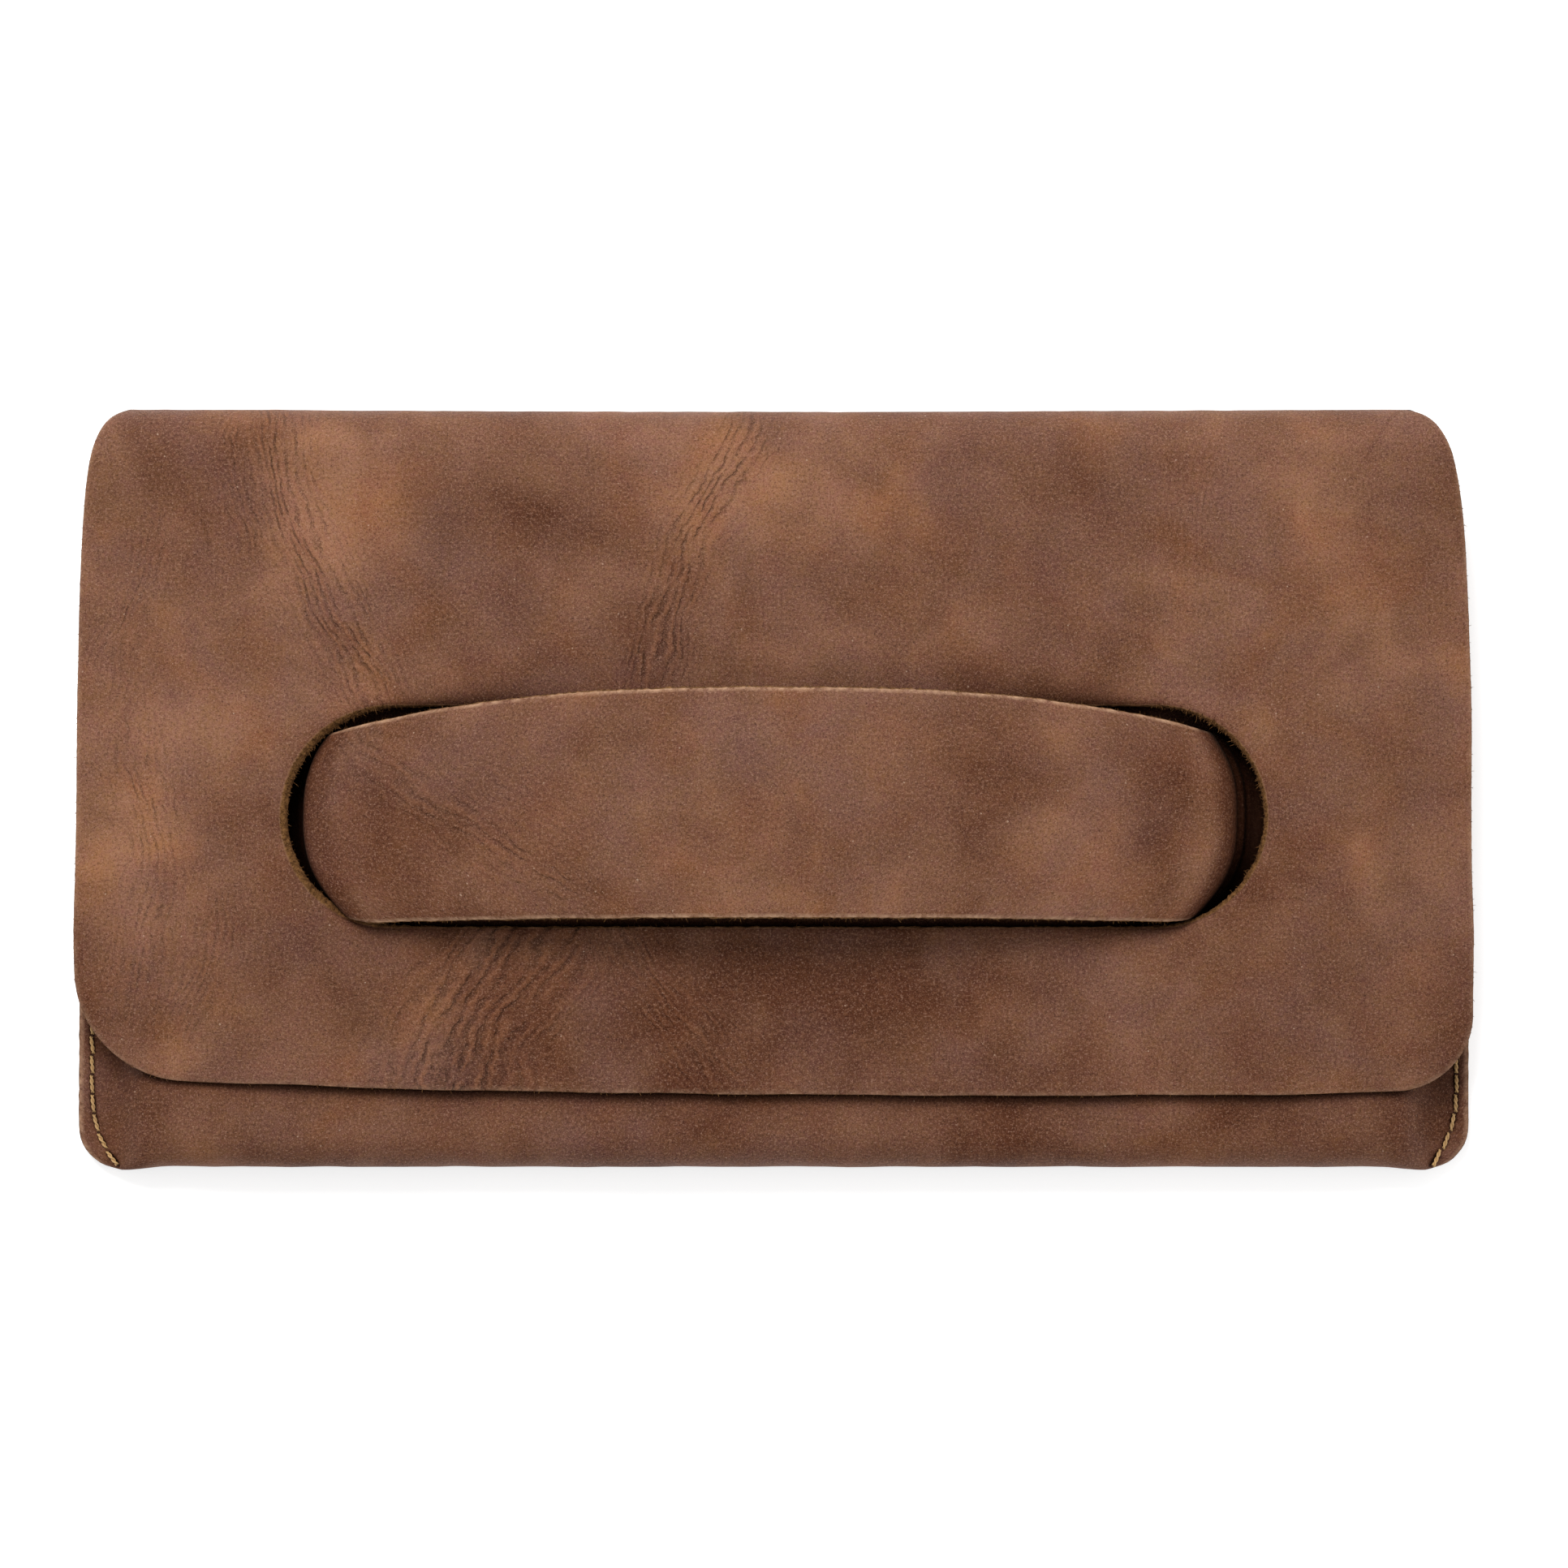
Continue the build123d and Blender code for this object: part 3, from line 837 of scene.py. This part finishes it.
def channel_height(x, rise):
    """Height of a channelled sheet over the back panel's inner face."""
    pitch = LINES[1] - LINES[0]
    across = np.abs((x - LINES[0]) % pitch - pitch / 2)
    half = pitch / 2 - 2.2
    return rise * np.clip(1 - (across / half) ** 2, 0, 1) ** 0.75


def channelled_sheet(name, low, high, skin, material, seed, ends):
    """Sheet that is sewn down in lines and arched between them."""
    x = np.linspace(low[0], high[0], 321)[None, :]
    share = np.linspace(0, 1, 41)[:, None]
    y = low[1] + (high[1] - low[1]) * share + ends * noise(x, 0 * x, 18, seed) * share
    rise = high[2] - HIDE - skin - 0.3
    slack = 1 - 0.10 * noise(x, y, 30, seed + 1) - 0.08 * share
    z = HIDE + 0.05 + channel_height(x, rise) * slack + 0 * y
    z = z + 0.06 * noise(x, y, 6, seed + 2)
    inner = np.stack(np.broadcast_arrays(x, y, z), -1)
    normals = grid_normals(inner, upper=(20, 160))
    flat = np.stack(np.broadcast_arrays(x, y + seed * 10, 0.0), -1)
    return sheet(name, inner + normals * skin, inner, flat, material, rough=0.05)


def channel_seams(low, high, skin):
    """Needle holes between the channels, on the sheet's face and behind the back panel."""
    paths = []
    for x in LINES:
        y = np.linspace(low[1] + 1.5, high[1] - 1.5, 40)
        line = stitch_path(np.stack([0 * y + x, y, 0 * y + HIDE + skin + 0.02], 1))
        back = line.copy()
        back[:, 2] = 0.25
        paths += [(line, (0, 0, 1)), (back, (0, 0, -1))]
    return paths


def make_inside(pocket_leather, elastic, thread):
    """The pocket and the band, each sewn down between its channels."""
    pocket = channelled_sheet("pocket_leather", POCKET_LOW, POCKET_HIGH, 1.2, pocket_leather, 31, 0.5)
    band = channelled_sheet("band_elastic", BAND_LOW, BAND_HIGH, 1.0, elastic, 37, 0.0)
    pocket_seams = sew("pocket_stitches", channel_seams(POCKET_LOW, POCKET_HIGH, 1.2), thread, 245,
                       samples=7, thickness=0.65)
    band_seams = sew("band_stitches", channel_seams(BAND_LOW, BAND_HIGH, 1.0), thread, 243,
                     samples=7, thickness=0.65)
    for piece, node, slot in ((pocket, "brush_pocket", "pocket_hide"), (band, "brush_band", "elastic"),
                              (pocket_seams, "pocket_thread", "seam_thread"),
                              (band_seams, "band_thread", "seam_thread")):
        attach(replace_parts(piece, node), "case")


# --- materials

def linear(red, green, blue):
    """Linear colour from everyday 0 to 255 values."""
    values = [c / 255 for c in (red, green, blue)]
    return tuple(c / 12.92 if c <= 0.04045 else ((c + 0.055) / 1.055) ** 2.4 for c in values) + (1,)


class Shader:
    """Builds one material's nodes: each method adds a node and returns its output."""

    def __init__(self, name):
        self.material = bpy.data.materials.new(name)
        self.material.use_nodes = True
        self.tree = self.material.node_tree
        self.bsdf = self.tree.nodes["Principled BSDF"]

    def node(self, kind, inputs, output=0, **settings):
        made = self.tree.nodes.new("ShaderNode" + kind)
        for key, value in settings.items():
            setattr(made, key, value)
        for key, value in inputs.items():
            self.put(made.inputs[key], value)
        return made.outputs[output]

    def put(self, socket, value):
        if isinstance(value, bpy.types.NodeSocket):
            self.tree.links.new(value, socket)
        else:
            socket.default_value = value

    def set(self, **inputs):
        for key, value in inputs.items():
            self.put(self.bsdf.inputs[key.replace("_", " ")], value)

    def attribute(self, name, output="Fac"):
        return self.node("Attribute", {}, output, attribute_name=name)

    def math(self, operation, a, b=0.0, clamp=False):
        return self.node("Math", {0: a, 1: b}, operation=operation, use_clamp=clamp)

    def vector(self, operation, a, b):
        return self.node("VectorMath", {0: a, 1: b}, operation=operation)

    def noise(self, at, scale, detail=2.0, roughness=0.5, distortion=0.0):
        inputs = {"Vector": at, "Scale": scale, "Detail": detail, "Roughness": roughness,
                  "Distortion": distortion}
        return self.node("TexNoise", inputs)

    def span(self, value, low, high, to_low=0.0, to_high=1.0):
        inputs = {"Value": value, "From Min": low, "From Max": high, "To Min": to_low, "To Max": to_high}
        return self.node("MapRange", inputs, clamp=True)

    def mix(self, share, a, b, blend="MIX"):
        made = self.tree.nodes.new("ShaderNodeMix")
        made.data_type = "RGBA"
        made.blend_type = blend
        for socket, value in ((made.inputs["Factor"], share), (made.inputs[6], a), (made.inputs[7], b)):
            self.put(socket, value)
        return made.outputs[2]

    def bump(self, height, distance, strength=1.0, normal=None):
        inputs = {"Height": height, "Distance": distance, "Strength": strength}
        if normal is not None:
            inputs["Normal"] = normal
        return self.node("Bump", inputs)


def crease_lines(s, flat):
    """Fine creases: broken, wavering lines along each bundle, with pale ridges between them. In the
    colour, the dark lines are painted shade and the pale ridges painted highlight, over the oiled dye's
    own pull-up.

    Returns how much a point is in a line, the wave's height there, and how much it is on a ridge.
    """
    waver = s.math("MULTIPLY", s.noise(flat, 460, 3, 0.6), 6.5)
    lines, folds, ridges = 0.0, 0.0, 0.0
    for layer in ("crease_a", "crease_b"):
        crease = s.attribute(layer, "Vector")
        across = s.node("SeparateXYZ", {0: crease}, 0)
        weight = s.node("SeparateXYZ", {0: crease}, 2)
        wave = s.math("COSINE", s.math("ADD", s.math("MULTIPLY", across, 2 * math.pi), waver))
        parts = s.noise(s.vector("MULTIPLY", crease, (1.0, 0.16, 0.0)), 1.0, 2, 0.6)
        weight = s.math("MULTIPLY", weight, s.span(parts, 0.38, 0.58))
        lines = s.math("ADD", lines, s.math("MULTIPLY", s.span(wave, -0.5, -1.0), weight))
        folds = s.math("ADD", folds, s.math("MULTIPLY", wave, weight))
        ridges = s.math("ADD", ridges, s.math("MULTIPLY", s.span(wave, 0.0, 0.9), weight))
    return lines, folds, ridges


def dye_with_painted_shade(s, flat):
    """The hide's dye, pulled from deep to bright by its tone and by the painted shade that the tone field
    carries, with cool and warm clouds and threads in it.
    """
    cloud = s.math("SUBTRACT", s.noise(flat, 75, 5, 0.6, 0.6), 0.5)
    light = s.span(s.math("ADD", s.math("MULTIPLY", cloud, 1.5), s.attribute("tone_and_shade")), -0.95, 0.95)
    colour = s.mix(s.span(light, 0.0, 0.5), linear(82, 43, 21), linear(116, 77, 56))
    colour = s.mix(s.span(light, 0.5, 1.0), colour, linear(150, 104, 77))
    violet = s.noise(flat, 38, 3, 0.5, 0.4)
    colour = s.mix(s.span(violet, 0.45, 0.70, 0.0, 0.50), colour, linear(106, 72, 64))
    warm = s.noise(flat, 58, 4, 0.55, 0.6)
    colour = s.mix(s.span(warm, 0.46, 0.70, 0.0, 0.75), colour, linear(255, 236, 200), "MULTIPLY")
    threads = s.math("MULTIPLY", s.noise(flat, 130, 4, 0.7, 1.0), 0.8)
    threads = s.math("ADD", s.noise(flat, 900, 3, 0.8), threads)
    colour = s.mix(s.span(threads, 0.9, 1.1, 0.0, 0.5), colour, linear(252, 255, 208), "MULTIPLY")
    return s.mix(s.span(threads, 0.9, 0.7, 0.0, 0.5), colour, linear(246, 226, 255), "MULTIPLY")


def specks(s, flat, grain, colour):
    """Adds the nap's dark and pale specks to a colour."""
    colour = s.mix(s.span(grain, 0.50, 0.28), colour, linear(100, 84, 60), "MULTIPLY")
    colour = s.mix(s.span(grain, 0.52, 0.72, 0.0, 0.75), colour, linear(172, 136, 116))
    coarse = s.noise(flat, 800, 3, 0.7)
    colour = s.mix(s.span(coarse, 0.5, 0.75, 0.0, 0.20), colour, linear(160, 108, 74))
    rare = s.noise(flat, 1300, 0, 0.5)
    return s.mix(s.span(rare, 0.86, 0.88, 0.0, 0.5), colour, linear(190, 160, 138))


def raw_tan(s, flat, worn):
    """Suede of the flesh side, and the darker fibres of the cut edges."""
    cloud = s.noise(flat, 45, 5, 0.65, 0.5)
    nap = s.noise(flat, 1500, 3, 0.8)
    suede = s.mix(s.span(cloud, 0.35, 0.65), linear(118, 83, 54), linear(150, 109, 75))
    suede = s.mix(s.span(nap, 0.4, 0.7, 0.0, 0.55), suede, linear(88, 60, 38))
    fibre = s.noise(flat, 1500, 3, 0.7)
    cut = s.mix(s.span(fibre, 0.35, 0.65), linear(70, 43, 18), linear(140, 101, 60))
    return s.mix(worn, suede, cut)


def leather(name):
    """Oiled brown leather with a fine nap: grain outside, suede inside and on the cut edges."""
    s = Shader(name)
    flat = s.attribute("flat", "Vector")
    flesh = s.attribute("flesh")
    worn = s.attribute("worn")
    lines, folds, ridges = crease_lines(s, flat)
    # Painted shade in the crease lines and painted highlight on the ridges, over the oiled dye's pull-up.
    colour = s.mix(s.math("MULTIPLY", lines, 0.42, True), dye_with_painted_shade(s, flat), linear(64, 36, 22))
    colour = s.mix(s.math("MULTIPLY", ridges, 0.30, True), colour, linear(150, 98, 66))
    fine = s.math("MULTIPLY", s.noise(flat, 3600, 2, 0.7), 0.55)
    grain = s.math("ADD", fine, s.math("MULTIPLY", s.noise(flat, 1700, 2, 0.7), 0.45))
    colour = specks(s, flat, grain, colour)
    # The outer edges are rubbed pale.
    patchy = s.span(s.noise(flat, 420, 3, 0.7), 0.35, 0.65, 0.05, 0.75)
    colour = s.mix(s.math("MULTIPLY", worn, patchy, True), colour, linear(190, 152, 122))
    colour = s.mix(flesh, colour, raw_tan(s, flat, worn))
    # Painted shade from ambient occlusion: light hardly reaches the gaps round the strap, so the colour
    # there is darkened nearly to black and the gloss taken off, but the cut edges there still catch some.
    sky = s.node("AmbientOcclusion", {"Distance": 0.010}, "AO", samples=6)
    uncut = s.span(s.math("MULTIPLY", flesh, worn), 0.0, 1.0, 1.0, 0.3)
    shaded = s.math("MULTIPLY", s.span(sky, 0.95, 0.55), uncut)
    colour = s.mix(shaded, colour, linear(196, 150, 118), "MULTIPLY")
    grain_side = s.span(flesh, 0.0, 1.0, 1.0, 0.5)
    # Painted deep shade: near black, without gloss, in the most occluded gaps.
    painted_deep_shade = s.math("MULTIPLY", s.span(sky, 0.80, 0.62), s.math("MULTIPLY", grain_side, uncut))
    s.set(Base_Color=s.mix(painted_deep_shade, colour, linear(10, 4, 2)))
    s.set(Specular_IOR_Level=s.span(painted_deep_shade, 0.0, 0.9, 0.16, 0.0))

    height = s.math("ADD", grain, s.math("MULTIPLY", s.noise(flat, 420, 4, 0.6), 0.8))
    coarse = s.math("MULTIPLY", height, s.span(flesh, 0.0, 1.0, 1.0, 2.4))
    normal = s.bump(coarse, 0.00020, 0.8)
    normal = s.bump(s.math("SUBTRACT", s.math("MULTIPLY", folds, 0.5), lines), 0.00022, 1.0, normal)
    rough = s.span(s.noise(flat, 160, 4, 0.6), 0.3, 0.7, 0.58, 0.74)
    s.set(Roughness=s.span(flesh, 0.0, 1.0, rough, 0.95), Normal=normal)
    s.set(Sheen_Weight=0.02, Sheen_Roughness=0.5, Sheen_Tint=linear(214, 190, 172))
    return s.material


def suede(name):
    """Thin lining leather, flesh side up."""
    s = Shader(name)
    flat = s.attribute("flat", "Vector")
    cloud = s.noise(flat, 60, 4, 0.6, 0.5)
    nap = s.noise(flat, 1500, 3, 0.75)
    colour = s.mix(s.span(cloud, 0.3, 0.7), linear(112, 77, 50), linear(150, 108, 74))
    colour = s.mix(s.span(nap, 0.35, 0.7, 0.0, 0.6), colour, linear(86, 58, 38))
    colour = s.mix(s.math("MULTIPLY", s.attribute("worn"), 0.6), colour, linear(176, 134, 96))
    normal = s.bump(s.math("ADD", nap, cloud), 0.0002, 0.7)
    s.set(Base_Color=colour, Roughness=0.95, Normal=normal, Specular_IOR_Level=0.15)
    s.set(Sheen_Weight=0.25, Sheen_Roughness=0.6, Sheen_Tint=linear(220, 190, 160))
    return s.material


def ribbed_elastic(name):
    """Dark woven elastic: ribs across, with the warp's short stitches over them."""
    s = Shader(name)
    flat = s.attribute("flat", "Vector")
    x = s.node("SeparateXYZ", {0: flat}, 0)
    y = s.node("SeparateXYZ", {0: flat}, 1)
    ribs = s.math("SINE", s.math("MULTIPLY", y, 2 * math.pi / 0.0011))
    warp = s.math("SINE", s.math("MULTIPLY", x, 2 * math.pi / 0.0009))
    weave = s.math("ADD", s.math("MULTIPLY", s.math("MULTIPLY", ribs, warp), 0.5), ribs)
    fuzz = s.noise(flat, 2500, 3, 0.7)
    colour = s.mix(s.span(weave, -1.2, 1.2), linear(26, 18, 14), linear(66, 48, 38))
    colour = s.mix(s.span(fuzz, 0.4, 0.8, 0.0, 0.35), colour, linear(104, 84, 70))
    normal = s.bump(s.math("ADD", weave, s.math("MULTIPLY", fuzz, 0.6)), 0.00022, 0.9)
    s.set(Base_Color=colour, Roughness=0.85, Normal=normal, Specular_IOR_Level=0.25)
    return s.material


def waxed_thread(name):
    """Golden tan twisted thread, dirtier in places."""
    s = Shader(name)
    flat = s.attribute("flat", "Vector")
    where = s.node("NewGeometry", {}, "Position")
    fibre = s.noise(s.vector("MULTIPLY", flat, (900.0, 5200.0, 900.0)), 1.0, 3, 0.7)
    dirt = s.noise(where, 140, 3, 0.6)
    colour = s.mix(s.span(fibre, 0.3, 0.7), linear(158, 116, 66), linear(216, 178, 122))
    colour = s.mix(s.span(dirt, 0.4, 0.75, 0.0, 0.45), colour, linear(134, 104, 76))
    normal = s.bump(fibre, 0.00008, 0.8)
    s.set(Base_Color=colour, Roughness=0.6, Normal=normal, Specular_IOR_Level=0.35)
    return s.material


# Painted shade: the dark brown stands in for the shadow inside the needle holes.
def hole_shade_material(name):
    s = Shader(name)
    where = s.node("NewGeometry", {}, "Position")
    colour = s.mix(s.noise(where, 900, 3, 0.7), linear(34, 20, 14), linear(74, 48, 36))
    s.set(Base_Color=colour, Roughness=0.9, Specular_IOR_Level=0.1)
    s.set(Normal=s.bump(s.noise(where, 1800, 2, 0.7), 0.0001, 0.6))
    return s.material


# --- studio

def area_light(name, place, size, power):
    """A round soft light that points at the case."""
    light = bpy.data.lights.new(name, "AREA")
    light.shape = "DISK"
    light.size = size
    light.energy = power
    lamp = bpy.data.objects.new(name, light)
    lamp.location = place
    lamp.rotation_euler = (Vector((0, 0, 0.01)) - Vector(place)).to_track_quat("-Z", "Y").to_euler()
    bpy.context.scene.collection.objects.link(lamp)


def studio():
    """Pale floor, white surroundings, and a key light from above the top fold."""
    bpy.ops.mesh.primitive_plane_add(size=8, location=(0, 0, -0.0003))
    floor = bpy.context.object
    floor.name = "floor"
    s = Shader("pale_floor")
    s.set(Base_Color=linear(246, 246, 246), Roughness=0.9, Specular_IOR_Level=0.1)
    s.set(Emission_Color=(1, 1, 1, 1), Emission_Strength=0.5)
    floor.data.materials.append(s.material)
    world = bpy.data.worlds.new("studio")
    bpy.context.scene.world = world
    world.use_nodes = True
    background = world.node_tree.nodes["Background"]
    background.inputs["Color"].default_value = (1, 1, 1, 1)
    background.inputs["Strength"].default_value = 0.52
    area_light("key", (-0.35, 0.9, 1.15), size=0.7, power=17.0)
    area_light("fill", (0.9, -0.4, 1.1), size=1.2, power=3.0)
    bpy.context.scene.view_settings.view_transform = "Standard"
    bpy.context.scene.view_settings.look = "None"


def camera():
    """Straight above the case, with its top fold at the top of the picture."""
    lens = bpy.data.cameras.new("camera")
    above = bpy.data.objects.new("camera", lens)
    distance = 1.2
    width_in_view = 0.3138
    lens.sensor_width = 36
    lens.lens = lens.sensor_width * distance / width_in_view
    lens.clip_end = 20
    above.location = (0.0020, 0.0009, TOP_Z * MM + distance)
    bpy.context.scene.collection.objects.link(above)
    bpy.context.scene.camera = above


# --- the case

hide = leather("oiled_leather")
thread = waxed_thread("waxed_thread")

flap = make_flap(hide)
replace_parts(flap, "flap")
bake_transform(flap)

pouch = make_pouch(hide)
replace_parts(pouch, "case_shell")
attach(pouch, "case")

strap = make_strap(hide)
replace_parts(strap, "hand_strap")
stretch_with_strap(strap)

make_fibres(hide, flap, strap)
make_threads(thread, hole_shade_material("needle_hole_shade"), pouch)
make_inside(suede("pocket_suede"), ribbed_elastic("ribbed_elastic"), thread)
studio()
camera()
